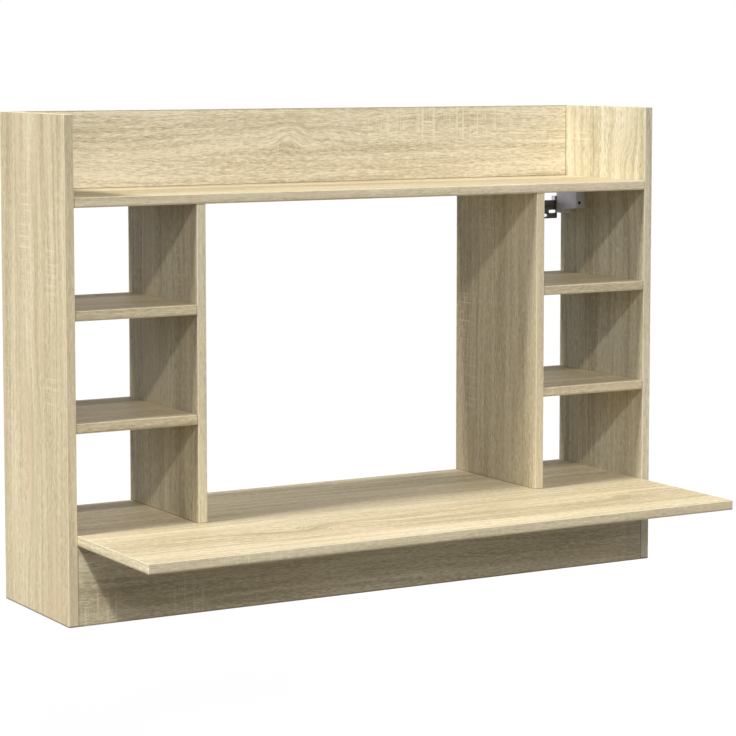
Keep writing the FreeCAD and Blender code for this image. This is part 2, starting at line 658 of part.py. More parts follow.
def height_screw():
    """Turned along Z: a head below the low flange, a ring above it and a thread to the high flange."""
    low = f"({CARRIAGE_LOW} - Sizes.slide_play - Sizes.height_head_length)"
    ring_low = "(Sizes.height_head_length + 2 * Sizes.slide_play + Sizes.carriage_flange)"
    ring_high = f"({ring_low} + Sizes.height_ring_length)"
    tip = f"({CARRIAGE_HIGH} - {low})"
    head = "Sizes.height_head / 2"
    thread = "Sizes.adjuster / 2"
    body = turned("left_height_screw", [
        ("0", "0"), (head, "0"), (head, "Sizes.height_head_length"), (thread, "Sizes.height_head_length"),
        (thread, ring_low), (head, ring_low), (head, ring_high), (thread, ring_high),
        (thread, tip), ("0", tip),
    ])
    hex_socket(body, "Sizes.key_socket", "Sizes.key_socket_depth")
    place(body, (across(HEIGHT_SCREW_ACROSS), HEIGHT_SCREW_DEPTH, low))
    return body


def hanger_hook():
    """A tail on the height screw's thread, a wide claw behind the housing and a nose behind the lip."""
    body = doc.addObject("PartDesign::Body", "left_hanger_hook")
    tail_front = f"({WEB_BACK} + Sizes.slide_play)"
    claw_front = f"({HOUSING_BACK} + Sizes.claw_gap)"
    claw_back = "(-Sizes.plate_step + Sizes.nose_thickness)"
    tail_far = f"({DEPTH_SCREW_ACROSS} - Sizes.adjuster / 2 - Sizes.tail_gap)"
    claw_far = "(Sizes.housing_width + Sizes.claw_reach)"
    nose_near = "Sizes.plate_inset"
    box(body, "AdditiveBox", (across("Sizes.hook_gap"), tail_front, HOOK_UNDER),
        (f"{tail_far} - Sizes.hook_gap", f"{claw_back} - {tail_front}", "Sizes.hook_height"))
    box(body, "AdditiveBox", (across("Sizes.hook_gap"), claw_front, HOOK_UNDER),
        (f"{claw_far} - Sizes.hook_gap", f"{claw_back} - {claw_front}", "Sizes.hook_height"))
    box(body, "AdditiveBox", (across(nose_near), "-Sizes.plate_step", f"{HOOK_UNDER} - Sizes.nose_length"),
        (f"{claw_far} - {nose_near}", "Sizes.nose_thickness", "Sizes.nose_length"))
    drill(body, (across(HEIGHT_SCREW_ACROSS), HEIGHT_SCREW_DEPTH, HOOK_UNDER), "+Z",
          RUNNING_HOLE, "Sizes.hook_height")
    return body


def wall_plate():
    """A strip flat on the wall with its upper lip stepped forward, and slots for the wall screws."""
    body = doc.addObject("PartDesign::Body", "left_wall_plate")
    lip_low = "(Sizes.plate_top - Sizes.lip_height)"
    step_low = f"({lip_low} - Sizes.plate_step_height)"
    lip_front = "(-Sizes.plate_step - Sizes.plate_thickness)"
    fold = "Sizes.plate_thickness * Sizes.plate_step_height / Sizes.plate_step / 2"
    strip = padded(body, [
        ("0", "-Sizes.plate_bottom"), ("0", step_low), ("-Sizes.plate_step", lip_low),
        ("-Sizes.plate_step", "Sizes.plate_top"), (lip_front, "Sizes.plate_top"),
        (lip_front, f"{lip_low} - {fold}"), ("-Sizes.plate_thickness", f"{step_low} - {fold}"),
        ("-Sizes.plate_thickness", "-Sizes.plate_bottom"),
    ], "Sizes.plate_width", across("Sizes.plate_inset"))
    doc.recompute()
    corners = edge_names(strip, "Y")
    soften(body, strip, corners, "Sizes.plate_corner")
    near = "(Sizes.plate_inset + Sizes.slot_inset)"
    far = "(Sizes.plate_inset + Sizes.plate_width - Sizes.slot_inset)"
    middle = "(Sizes.plate_inset + Sizes.plate_width / 2)"
    slots = (
        (near, "0", "Sizes.slot_length", "Sizes.slot_width"),
        (far, "0", "Sizes.slot_length", "Sizes.slot_width"),
        (middle, "-Sizes.low_slot_drop", "Sizes.low_slot_length", "Sizes.low_slot_width"),
    )
    for centre, height, length, width in slots:
        run = f"({length} - {width})"
        front = "-Sizes.plate_thickness"
        box(body, "SubtractiveBox", (across(f"{centre} - {run} / 2"), front, f"{height} - {width} / 2"),
            (run, "Sizes.plate_thickness", width))
        for end in ("-", "+"):
            drill(body, (across(f"{centre} {end} {run} / 2"), front, height), "+Y",
                  width, "Sizes.plate_thickness")
    return body


# Peg holes of the housings in both side panels
for side, sign in SIDES.items():
    for peg in PEGS:
        drill(side_panels[side], (f"{sign}{SIDE_IN}", peg, PEG_HEIGHT), f"{sign}X",
              "Sizes.peg_diameter + 2 * Sizes.bore_play", "Sizes.peg_length + Sizes.bore_spare")

# The right hanger mirrors the left one
for make in (hanger_housing, hanger_carriage, hanger_hook, depth_screw, height_screw, wall_plate):
    left_piece = keep(make(), f"left_{make.__name__}")
    right_piece = keep(doc.addObject("Part::Mirroring", f"right_{make.__name__}"), f"right_{make.__name__}")
    right_piece.Source = left_piece
    right_piece.Normal = Vector(1, 0, 0)
    right_piece.Base = Vector()

doc.recompute()

# Every object has to be sound before anything is written
for obj in doc.Objects:
    if "Invalid" in obj.State or "Error" in obj.State:
        raise RuntimeError(f"{obj.Label} failed: {obj.State}")
for obj in subparts:
    if obj.Shape.isNull() or not obj.Shape.isValid():
        raise RuntimeError(f"{obj.Label} has no sound shape")

os.makedirs("parts", exist_ok=True)
for obj in subparts:
    obj.Shape.exportStep(f"parts/{obj.Label}.step")
    print(obj.Label, len(obj.Shape.Solids), round(obj.Shape.Volume, 1))
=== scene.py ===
import json
import math

import bpy
import bmesh
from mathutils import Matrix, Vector


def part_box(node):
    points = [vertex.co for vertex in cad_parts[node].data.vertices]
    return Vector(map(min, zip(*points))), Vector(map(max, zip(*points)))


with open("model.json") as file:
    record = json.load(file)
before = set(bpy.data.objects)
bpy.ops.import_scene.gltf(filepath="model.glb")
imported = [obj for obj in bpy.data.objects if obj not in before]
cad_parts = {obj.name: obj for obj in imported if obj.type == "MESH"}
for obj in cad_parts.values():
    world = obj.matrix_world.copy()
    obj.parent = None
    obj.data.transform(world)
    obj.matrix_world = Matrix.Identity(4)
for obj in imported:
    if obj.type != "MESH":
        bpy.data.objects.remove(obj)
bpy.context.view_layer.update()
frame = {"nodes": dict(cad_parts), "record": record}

X, Y, Z = 0, 1, 2
MM = 0.001
WHITE = (1.0, 1.0, 1.0)


# Shader arithmetic
class Wire:
    """A node's output that takes part in Python arithmetic."""

    def __init__(self, wiring, socket):
        self.wiring = wiring
        self.socket = socket

    def math(self, operation, other=0.0):
        return self.wiring.node("ShaderNodeMath", {"operation": operation}, {0: self, 1: other})

    def after(self, operation, first):
        return self.wiring.node("ShaderNodeMath", {"operation": operation}, {0: first, 1: self})

    def __add__(self, other):
        return self.math("ADD", other)

    __radd__ = __add__

    def __sub__(self, other):
        return self.math("SUBTRACT", other)

    def __rsub__(self, first):
        return self.after("SUBTRACT", first)

    def __mul__(self, other):
        return self.math("MULTIPLY", other)

    __rmul__ = __mul__

    def __truediv__(self, other):
        return self.math("DIVIDE", other)

    def __abs__(self):
        return self.math("ABSOLUTE")

    def __gt__(self, other):
        return self.math("GREATER_THAN", other)

    def least(self, other):
        return self.math("MINIMUM", other)

    def most(self, other):
        return self.math("MAXIMUM", other)

    def ramp(self, low, high):
        """0 below low, 1 above high, with a soft rise between."""
        ends = {"From Min": low, "From Max": high, "Value": self}
        return self.wiring.node("ShaderNodeMapRange", {"interpolation_type": "SMOOTHSTEP"}, ends)

    def within(self, width, core):
        """1 up to a core share of the width, 0 past the width, with a soft fall between."""
        return 1 - (self / width).ramp(core, 1.0)


class Wiring:
    """A node tree, and the one way to add nodes to it."""

    def __init__(self, tree):
        self.tree = tree

    def node(self, kind, settings, inputs, output=0):
        made = self.tree.nodes.new(kind)
        for name, value in settings.items():
            if name == "stops":
                self.set_stops(made.color_ramp, value)
            else:
                setattr(made, name, value)
        for key, value in inputs.items():
            self.plug(made.inputs[key], value)
        return Wire(self, made.outputs[output])

    def set_stops(self, ramp, stops):
        while len(ramp.elements) < len(stops):
            ramp.elements.new(1.0)
        for element, (position, colour) in zip(ramp.elements, stops):
            element.position = position
            element.color = (*colour, 1.0)

    def plug(self, socket, value):
        if isinstance(value, Wire):
            self.tree.links.new(value.socket, socket)
        elif socket.type == "RGBA":
            socket.default_value = (*value, 1.0)
        else:
            socket.default_value = value


class Finish(Wiring):
    """One surface finish: a material with a Principled shader and the nodes that feed it."""

    def __init__(self, name, constants):
        self.material = bpy.data.materials.new(name)
        self.material.use_nodes = True
        super().__init__(self.material.node_tree)
        self.shader = self.tree.nodes["Principled BSDF"]
        for socket, value in constants.items():
            self.feed(socket, value)

    def feed(self, socket, value):
        self.plug(self.shader.inputs[socket], value)

    def axes(self, kind):
        """The three parts of the point (Object) or of the way the surface faces (Normal)."""
        source = self.node("ShaderNodeTexCoord", {}, {}, kind)
        return [self.node("ShaderNodeSeparateXYZ", {}, {0: source}, axis) for axis in (X, Y, Z)]

    def noise(self, x, y, z, detail=2.0, roughness=0.5):
        point = self.node("ShaderNodeCombineXYZ", {}, {0: x, 1: y, 2: z})
        inputs = {"Vector": point, "Scale": 1.0, "Detail": detail, "Roughness": roughness}
        return self.node("ShaderNodeTexNoise", {}, inputs)

    def speckle(self, per_metre, detail=2.0):
        """A noise that is alike in all directions."""
        x, y, z = self.axes("Object")
        return self.noise(x * per_metre, y * per_metre, z * per_metre, detail)

    def strokes(self, way, width):
        """Thin lines at uneven steps along the way: 1 on a line, 0 past its width."""
        settings = {"voronoi_dimensions": "1D", "feature": "DISTANCE_TO_EDGE"}
        gap = self.node("ShaderNodeTexVoronoi", settings, {"W": way, "Scale": 1.0})
        return gap.within(width, core=0.3)

    def colour(self, share, stops):
        return self.node("ShaderNodeValToRGB", {"stops": stops}, {0: share})

    def blend(self, share, first, second):
        settings = {"data_type": "RGBA", "blend_type": "MIX"}
        return self.node("ShaderNodeMix", settings, {0: share, 6: first, 7: second}, 2)

    def bump(self, height, strength, distance):
        inputs = {"Height": height, "Strength": strength, "Distance": distance}
        self.feed("Normal", self.node("ShaderNodeBump", {}, inputs))


# Colours of the oak decor, with the painted shade and painted highlight of its edges, and where the tones
# lie between the palest and the darkest grain
OAK_LIGHT = (0.82, 0.735, 0.53)
OAK_PALE = (0.715, 0.625, 0.435)
OAK_BODY = (0.61, 0.52, 0.335)
OAK_DARK = (0.42, 0.345, 0.215)
OAK_PORE = (0.28, 0.22, 0.135)
OAK_WARM = (0.65, 0.515, 0.345)
OAK_SAWN = (0.83, 0.745, 0.53)
# Dark seams of the edge bands, also used for the painted shade line along the bottom
OAK_SEAM_AND_SHADE = (0.20, 0.155, 0.10)
# Painted highlight along the arrises
OAK_EDGE_HIGHLIGHT = (0.90, 0.81, 0.60)
OAK_TONES = ((0.0, OAK_LIGHT), (0.24, OAK_PALE), (0.58, OAK_BODY), (0.98, OAK_DARK))
MIDDLE_TONE = 0.55

# Lines along the edges of a board: the seams of the edge bands, a painted highlight on the arrises and a
# painted shade line along the bottom
SEAM_FROM_EDGE = 0.9 * MM
SEAM_WIDTH = 0.75 * MM
EDGE_HIGHLIGHT_WIDTH = 1.1 * MM
EDGE_HIGHLIGHT_STRENGTH = 0.7
FACE_JOINT = 0.4
BOTTOM_SHADE_HEIGHT = 3.2 * MM

# The cosine past which a surface counts as facing along an axis
FACE_LIMIT = 0.7

# Steps in the noise that give the edges, the ends and the side on show a decor of their own
EDGE_SHEET = 2.7
END_SHEET = 1.9
SHOW_SHEET = 3.3

# Features that swing about a middle: changes per metre along and across the grain, and a noise layer
SWINGS = {
    "wander": dict(along=6.0, across=15.0, layer=0.4),
    "ripple": dict(along=34.0, across=64.0, layer=0.8, detail=1.0),
    "slow": dict(along=1.2, across=2.6, layer=0.0),
    "bands": dict(along=0.8, across=24.0, layer=1.0, detail=1.0),
    "rings": dict(along=2.6, across=115.0, layer=1.4, detail=3.0, roughness=0.6),
    "flecks": dict(along=95.0, across=520.0, layer=1.8, roughness=0.6),
    "fibres": dict(along=60.0, across=780.0, layer=2.2),
    "vein_lines": dict(along=1.3, across=36.0, layer=5.4, detail=1.0),
}

# Features that come in spots, with the noise at which a spot starts and the noise at which it is full
SPOTS = {
    "vein_patches": dict(along=2.2, across=7.0, layer=5.8, detail=1.0, start=0.40, full=0.60),
    "dashes": dict(along=75.0, across=520.0, layer=2.4, detail=1.0, start=0.56, full=0.70),
    "pores": dict(along=110.0, across=1700.0, layer=2.6, detail=1.0, start=0.58, full=0.70),
    "warmth": dict(along=4.0, across=20.0, layer=3.0, start=0.48, full=0.68),
    "stray_sawn": dict(along=4.0, across=13.0, layer=3.4, start=0.58, full=0.68),
    "stroke_gate": dict(along=75.0, across=16.0, layer=4.6, detail=1.0, start=0.32, full=0.56),
    "short_gate": dict(along=70.0, across=60.0, layer=5.0, detail=1.0, start=0.45, full=0.58),
}

# How far the grain wanders from a straight line
WANDER_REACH = 11.0 * MM
RIPPLE_REACH = 3.6 * MM
SLOW_REACH = 45.0 * MM

# Share of each feature in the tone of the grain
BAND_SHARE = 1.1
RING_SHARE = 1.05
FLECK_SHARE = 1.5
SLOW_SHARE = 0.5
VEIN_SHARE = 0.24

# Sharpness of the veins, share of the figure that the edges lack, and contrast of the rings in a streak
VEIN_SHARPNESS = 12.0
EDGE_CALM = 0.35
STREAK_RINGS = 3.0

# Depth of the dashes and pores, and how much deeper they are in the early wood of a ring
EARLY_WOOD_CONTRAST = 3.0
EARLY_WOOD_RISE = (0.1, 0.9)
DASH_DEPTH = 0.10
DASH_IN_EARLY_WOOD = 0.35
PORE_DEPTH = 0.15
PORE_IN_EARLY_WOOD = 0.4

# Saw strokes: how many per metre, the strength of each kind, and how a sawn patch begins and fills
LONG_STROKES = 62.0
SPARSE_STROKES = 23.0
SHORT_STROKES = 190.0
SPARSE_STRENGTH = 0.8
SHORT_STRENGTH = 0.6
STRAY_STRENGTH = 0.3
STROKE_COVER = 0.75
SAWN_RISE = (0.15, 0.75)

# Gloss, roughness and relief of the decor
OAK_GLOSS = 0.05
OAK_ROUGHNESS = 0.56
GRAIN_ROUGHNESS = 0.12
STROKE_POLISH = 0.05
FIBRE_RELIEF = 0.6
SEAM_RELIEF = 1.5
RELIEF_HEIGHT = 0.15 * MM


def spot(run, rise, centre, half):
    """1 at a mark's centre, fading to 0 past its half lengths along and across the grain."""
    from_run = (run - centre[0]) / half[0]
    from_rise = (rise - centre[1]) / half[1]
    return (0 - from_run * from_run - from_rise * from_rise).math("EXPONENT")


def tinted(colour, tint):
    return tuple(part * share for part, share in zip(colour, tint))


class OakBoard(Finish):
    """The oak decor of one board, whose grain runs along it."""

    def __init__(self, node, axes, side, seed):
        super().__init__("oak_" + node, {"Specular IOR Level": OAK_GLOSS})
        self.low, self.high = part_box(node)
        self.seed = seed
        self.along, self.across, self.through = ("xyz".index(letter) for letter in axes)
        self.place = self.axes("Object")
        self.facing = self.axes("Normal")
        self.on_face = self.faces(self.through)
        self.on_end = self.faces(self.along)
        self.on_edge = self.faces(self.across)
        self.on_show = self.facing[self.through] * side > FACE_LIMIT
        along, across, through = (self.place[axis] for axis in (self.along, self.across, self.through))
        self.run = along + self.on_end * (across - along)
        self.rise = through + self.on_face * (across - through)
        sides = (1 - self.on_face) * EDGE_SHEET + self.on_end * END_SHEET + self.on_show * SHOW_SHEET
        self.sheet = seed + sides

    def faces(self, axis):
        return abs(self.facing[axis]) > FACE_LIMIT

    def layer(self, rise, along, across, layer, detail=2.0, roughness=0.5):
        return self.noise(self.run * along, rise * across, self.sheet + layer, detail, roughness)

    def swing(self, name, rise):
        """A feature that swings from about -0.5 to 0.5."""
        return self.layer(rise, **SWINGS[name]) - 0.5

    def spots(self, name, rise):
        """A feature in spots: 1 inside them, 0 between."""
        sizes = dict(SPOTS[name])
        start = sizes.pop("start")
        full = sizes.pop("full")
        return self.layer(rise, **sizes).ramp(start, full)

    def bend(self, eyes):
        """The place across the grain, as the grain wanders and goes round its eyes."""
        wander = self.swing("wander", self.rise) * WANDER_REACH
        ripple = self.swing("ripple", self.rise) * RIPPLE_REACH
        bent = self.rise + wander + ripple
        for centre, half, lift, lean in eyes:
            push = lift + (self.run - centre[0]) * lean
            bent = bent + spot(self.run, self.rise, centre, half) * self.on_show * push
        return bent

    def veins(self, flow):
        """Thin dark lines in patches, each line where a slow swing passes its middle."""
        lines = (1 - abs(self.swing("vein_lines", flow)) * VEIN_SHARPNESS).most(0.0)
        return lines * self.spots("vein_patches", self.rise)

    def saw_strokes(self, sawn, edge_sawn):
        """Pale strokes across the grain, strong where the board is sawn and faint in stray patches."""
        patches = self.spots("stray_sawn", self.rise) * STRAY_STRENGTH
        for centre, half, strength in sawn:
            patch = spot(self.run, self.rise, centre, half).ramp(*SAWN_RISE)
            patches = patches.most(patch * self.on_show * strength)
        for centre, half, strength in edge_sawn:
            patch = spot(self.run, self.rise, (centre, 0.0), (half, 1.0))
            patches = patches.most(patch * self.on_edge * strength)
        gate = self.spots("stroke_gate", self.rise)
        short_gate = self.spots("short_gate", self.rise)
        long_strokes = self.strokes(self.run * LONG_STROKES + self.seed, width=0.13) * gate
        sparse_strokes = self.strokes(self.run * SPARSE_STROKES - self.seed, width=0.05) * short_gate
        short_strokes = self.strokes(self.run * SHORT_STROKES + self.seed, width=0.24) * short_gate
        strokes = long_strokes.most(sparse_strokes * SPARSE_STRENGTH).most(short_strokes * SHORT_STRENGTH)
        return patches * strokes

    def edge_lines(self, joints, bottom_shade):
        """A painted highlight on the arrises, the dark seams of the edge bands and a painted shade line
        at the bottom.

        The deeper a joint, the darker its seam and the dimmer the painted highlight beside it.
        """
        edge_highlight = 0.0
        seam_and_shade = 0.0
        borders = (
            (self.along, self.on_end, joints[0]),
            (self.across, self.on_edge, joints[1]),
            (self.through, self.on_face, FACE_JOINT),
        )
        for axis, faced, depth in borders:
            place = self.place[axis]
            from_edge = (place - self.low[axis]).least(self.high[axis] - place)
            # Painted highlight along each arris, dimmer beside a deeper joint
            edge_highlight = (from_edge.within(EDGE_HIGHLIGHT_WIDTH, core=0.5) * (1 - faced) * (1 - depth)).most(edge_highlight)
            if axis != self.through:
                line = abs(from_edge - SEAM_FROM_EDGE).within(SEAM_WIDTH, core=0.3)
                shown = 1 - faced if axis == self.along else self.on_face
                seam_and_shade = (line * shown * depth).most(seam_and_shade)
        # Painted shade: a dark line along the bottom of the board
        if bottom_shade:
            bottom_shade_line = (self.place[Z] - self.low[Z]).within(BOTTOM_SHADE_HEIGHT, core=0.5)
            seam_and_shade = (bottom_shade_line * (1 - self.faces(Z)) * bottom_shade).most(seam_and_shade)
        return edge_highlight, seam_and_shade


def oak(node, axes, side, seed, tone_and_painted_shade=(0.0, 0.0), figure=1.0, fine=1.0, warm=0.4, joints=(0.8, 0.25),
        tint=WHITE, bottom_shade=0.0, eyes=(), streaks=(), sawn=(), edge_sawn=()):
    """Light oak decor on one board: the grain, the marks on it, its painted shade and light, and the
    seams, painted highlight and painted shade line along its edges.
    """
    board = OakBoard(node, axes, side, seed)
    bent = board.bend(eyes)
    slow = board.swing("slow", board.rise)
    flow = bent + slow * SLOW_REACH
    bands, rings, flecks, fibres = (
        board.swing(name, flow) for name in ("bands", "rings", "flecks", "fibres"))
    dashes, pores, warmth = (board.spots(name, flow) for name in ("dashes", "pores", "warmth"))
    strokes = board.saw_strokes(sawn, edge_sawn)
    edge_highlight, seam_and_shade = board.edge_lines(joints, bottom_shade)

    grain = bands * BAND_SHARE + rings * RING_SHARE + flecks * FLECK_SHARE + fibres * fine
    grain = grain + slow * SLOW_SHARE + board.veins(flow) * VEIN_SHARE
    # Tone of the board, with painted shade and painted light that set its faces and its edges apart
    tone = MIDDLE_TONE + tone_and_painted_shade[1] + board.on_face * (tone_and_painted_shade[0] - tone_and_painted_shade[1])
    tone = tone + grain * figure * (1 - board.on_edge * EDGE_CALM)
    for centre, half, depth in streaks:
        streak = spot(board.run, bent, centre, half) * board.on_show
        tone = tone + streak * (depth + rings * depth * STREAK_RINGS)
    colour = board.colour(tone, [(stop, tinted(oak_tone, tint)) for stop, oak_tone in OAK_TONES])
    colour = board.blend(warmth * warm, colour, OAK_WARM)
    early_wood = (rings * EARLY_WOOD_CONTRAST + 0.5).ramp(*EARLY_WOOD_RISE)
    colour = board.blend(dashes * (early_wood * DASH_IN_EARLY_WOOD + DASH_DEPTH), colour, OAK_DARK)
    colour = board.blend(pores * (early_wood * PORE_IN_EARLY_WOOD + PORE_DEPTH), colour, OAK_PORE)
    colour = board.blend(strokes * STROKE_COVER, colour, OAK_SAWN)
    # Painted highlight along the edges
    colour = board.blend(edge_highlight * EDGE_HIGHLIGHT_STRENGTH, colour, OAK_EDGE_HIGHLIGHT)
    # Dark seams of the edge bands, with the painted shade line along the bottom
    colour = board.blend(seam_and_shade, colour, OAK_SEAM_AND_SHADE)

    board.feed("Base Color", colour)
    rough_grain = pores * GRAIN_ROUGHNESS + flecks * GRAIN_ROUGHNESS
    board.feed("Roughness", OAK_ROUGHNESS + rough_grain - strokes * STROKE_POLISH)
    relief = fibres * FIBRE_RELIEF - pores - seam_and_shade * SEAM_RELIEF
    board.bump(relief, strength=0.25, distance=RELIEF_HEIGHT)
    return board.material


# Each board: the axes along, across and through it, the side on show and the look of its decor.
# Its shade pair darkens its faces and its edges, or lightens them where it is below 0, as the depth of a
# streak does. It is partly the board's own tone and partly painted shade and painted light that set its
# faces and its edges apart. Joints are the seams at its ends and at its long edges, and dim the painted
# highlight beside them. Its bottom setting is the depth of a painted shade line along its bottom. On the
# side on show, eyes bend the grain by a lift and a lean, streaks run along it and saw strokes cross it.
# Such a mark starts with its centre and its half lengths, along and across the grain. Saw strokes on an
# edge have these along the board alone.
BOARDS = {
    "left_side_panel": dict(
        axes="zyx", side=-1, seed=1.0, tone_and_painted_shade=(0.0, -0.1), figure=0.88, warm=0.6, joints=(0.2, 0.2),
        tint=(1.0, 0.985, 0.97), bottom_shade=0.85,
        eyes=[((-0.36, -0.10), (0.12, 0.022), 0.024, 0.0), ((0.08, -0.11), (0.16, 0.02), -0.012, 0.0)],
        streaks=[((-0.30, -0.105), (0.08, 0.006), 0.42), ((0.10, -0.105), (0.10, 0.005), 0.22),
                 ((-0.15, -0.13), (0.07, 0.012), 0.15), ((-0.40, -0.045), (0.14, 0.02), -0.22),
                 ((-0.38, -0.10), (0.10, 0.012), 0.22)],
        sawn=[((0.0, -0.095), (0.09, 0.024), 0.6), ((-0.055, -0.19), (0.05, 0.024), 0.5),
              ((-0.23, -0.19), (0.03, 0.028), 0.5)],
    ),
    "right_side_panel": dict(
        axes="zyx", side=-1, seed=11.0, tone_and_painted_shade=(-0.19, 0.04), warm=0.1, joints=(0.2, 0.2),
        tint=(0.975, 1.015, 1.075), bottom_shade=0.85,
        eyes=[((0.12, -0.19), (0.07, 0.035), 0.0, 0.36)],
        streaks=[((-0.05, -0.09), (0.10, 0.012), 0.25), ((-0.2, -0.08), (0.10, 0.015), 0.2),
                 ((0.125, -0.026), (0.07, 0.009), -0.45), ((0.12, -0.10), (0.05, 0.006), 0.25),
                 ((0.12, -0.17), (0.05, 0.005), 0.2)],
        sawn=[((0.132, -0.06), (0.016, 0.03), 0.8)],
    ),
    "left_divider": dict(
        axes="zyx", side=-1, seed=21.0, tone_and_painted_shade=(0.0, -0.08), tint=(0.98, 1.01, 1.04),
        sawn=[((0.0, -0.10), (0.04, 0.02), 0.3), ((-0.05, -0.19), (0.05, 0.02), 0.4),
              ((-0.24, -0.2), (0.03, 0.02), 0.4)],
    ),
    "right_divider": dict(
        axes="zyx", side=-1, seed=31.0, tone_and_painted_shade=(0.0, 0.03), warm=0.3,
        eyes=[((-0.15, -0.03), (0.05, 0.02), 0.012, 0.0)],
        sawn=[((-0.17, -0.03), (0.05, 0.02), 0.6), ((-0.28, -0.05), (0.06, 0.02), 0.4)],
    ),
    "top_shelf": dict(axes="xyz", side=1, seed=41.0, tone_and_painted_shade=(0.12, -0.15), bottom_shade=0.5),
    "desk_board": dict(
        axes="xyz", side=1, seed=51.0, tone_and_painted_shade=(0.0, -0.15), joints=(0.2, 0.2), tint=(1.0, 0.99, 0.97),
        bottom_shade=0.5,
        eyes=[((-0.17, -0.362), (0.06, 0.022), 0.0, -0.95), ((0.375, -0.372), (0.03, 0.02), 0.0, -0.85)],
        streaks=[((-0.17, -0.362), (0.07, 0.016), 0.65), ((-0.26, -0.358), (0.05, 0.007), 0.7),
                 ((-0.36, -0.348), (0.07, 0.005), 0.5), ((-0.31, -0.409), (0.03, 0.006), 0.4),
                 ((-0.04, -0.35), (0.09, 0.007), 0.4), ((0.375, -0.372), (0.035, 0.016), 0.42),
                 ((0.44, -0.348), (0.06, 0.006), 0.4)],
        edge_sawn=[(-0.36, 0.10, 0.6)],
    ),
    "left_upper_shelf": dict(axes="xyz", side=1, seed=61.0, tone_and_painted_shade=(0.42, 0.2), bottom_shade=0.4),
    "left_lower_shelf": dict(axes="xyz", side=1, seed=71.0, tone_and_painted_shade=(0.42, 0.12), bottom_shade=0.4),
    "right_upper_shelf": dict(axes="xyz", side=1, seed=81.0, tone_and_painted_shade=(0.42, 0.26), bottom_shade=0.4),
    "right_lower_shelf": dict(axes="xyz", side=1, seed=91.0, tone_and_painted_shade=(0.42, 0.1), bottom_shade=0.4),
    "upper_back_panel": dict(
        axes="xzy", side=-1, seed=101.0, tone_and_painted_shade=(-0.28, 0.0), fine=1.6, warm=0.0, joints=(0.9, 0.8),
        tint=(0.995, 1.0, 1.035),
        eyes=[((-0.018, 0.146), (0.034, 0.022), -0.010, 0.65), ((0.07, 0.138), (0.06, 0.016), 0.0, 0.22),
              ((-0.24, 0.13), (0.2, 0.03), 0.0, -0.08)],
        streaks=[((-0.24, 0.134), (0.16, 0.006), 0.30), ((-0.03, 0.144), (0.035, 0.018), 0.2),
                 ((0.07, 0.138), (0.06, 0.005), 0.35), ((0.27, 0.088), (0.12, 0.008), 0.18),
                 ((-0.40, 0.152), (0.15, 0.024), 0.16), ((0.13, 0.16), (0.10, 0.03), -0.10)],
        sawn=[((0.26, 0.155), (0.15, 0.034), 1.0)],
    ),
    "front_apron": dict(
        axes="xzy", side=-1, seed=111.0, tone_and_painted_shade=(0.05, 0.0), warm=0.25, bottom_shade=0.6,
        sawn=[((-0.48, -0.555), (0.04, 0.03), 0.55), ((-0.33, -0.55), (0.03, 0.035), 0.55)],
    ),
}


# Colours of the hardware
BEECH_DARK = (0.66, 0.45, 0.26)
BEECH_LIGHT = (0.78, 0.58, 0.37)
BEECH_FLECK = (0.48, 0.29, 0.15)
HOUSING_DARK = (0.56, 0.56, 0.57)
HOUSING_LIGHT = (0.63, 0.63, 0.64)
ZINC_DARK = (0.33, 0.34, 0.35)
ZINC_LIGHT = (0.45, 0.45, 0.445)
CASTING_DARK = (0.30, 0.305, 0.31)
CASTING_LIGHT = (0.42, 0.42, 0.42)
PLATE_DARK = (0.12, 0.12, 0.117)
PLATE_LIGHT = (0.20, 0.20, 0.195)
BLACK_DARK = (0.03, 0.03, 0.031)
BLACK_LIGHT = (0.06, 0.06, 0.062)

# Noise at which a cloudy tone is darkest and lightest
CLOUD_RANGE = (0.3, 0.7)

# Flecks of beech, scratches of metal and streaks of the caps: changes per metre, and the noise at which
# a fleck or a scratch starts and at which it is full
FLECKS_PER_METRE = 400.0
FLECK_RISE = (0.55, 0.70)
SCRATCH_ALONG = 160.0
SCRATCH_ACROSS = 2600.0
SCRATCH_RISE = (0.62, 0.72)
CAP_STREAK_ALONG = 40.0
CAP_STREAK_ACROSS = 700.0
CAP_STREAK_RANGE = (0.3, 0.6)


def two_tone(finish, share, dark, light, span=CLOUD_RANGE):
    """A colour that goes from dark to light as the share crosses the span."""
    return finish.colour(share, list(zip(span, (dark, light))))


def beech():
    finish = Finish("raw_beech", {"Specular IOR Level": 0.25})
    fleck = finish.speckle(FLECKS_PER_METRE).ramp(*FLECK_RISE)
    tone = finish.speckle(per_metre=60.0, detail=3.0)
    colour = two_tone(finish, tone, BEECH_DARK, BEECH_LIGHT)
    finish.feed("Base Color", finish.blend(fleck * 0.5, colour, BEECH_FLECK))
    finish.feed("Roughness", 0.6 + tone * 0.2)
    finish.bump(fleck, strength=0.2, distance=0.1 * MM)
    return finish.material


def metal(name, dark, light, roughness, pits_per_metre, metallic=1.0):
    """A metal whose cloudy tone, fine pits and small upright scratches show at a few millimetres."""
    finish = Finish(name, {"Metallic": metallic})
    cloud = finish.speckle(per_metre=130.0, detail=3.0)
    pits = finish.speckle(pits_per_metre)
    x, y, z = finish.axes("Object")
    scratches = finish.noise(x * SCRATCH_ACROSS, y * SCRATCH_ACROSS, z * SCRATCH_ALONG, detail=1.0)
    scratch = scratches.ramp(*SCRATCH_RISE)
    colour = two_tone(finish, cloud, dark, light)
    finish.feed("Base Color", finish.blend(scratch * 0.25, colour, light))
    finish.feed("Roughness", roughness + (cloud - 0.5) * 0.25 + (pits - 0.5) * 0.2)
    finish.bump(pits - scratch * 0.3, strength=0.2, distance=0.06 * MM)
    return finish.material


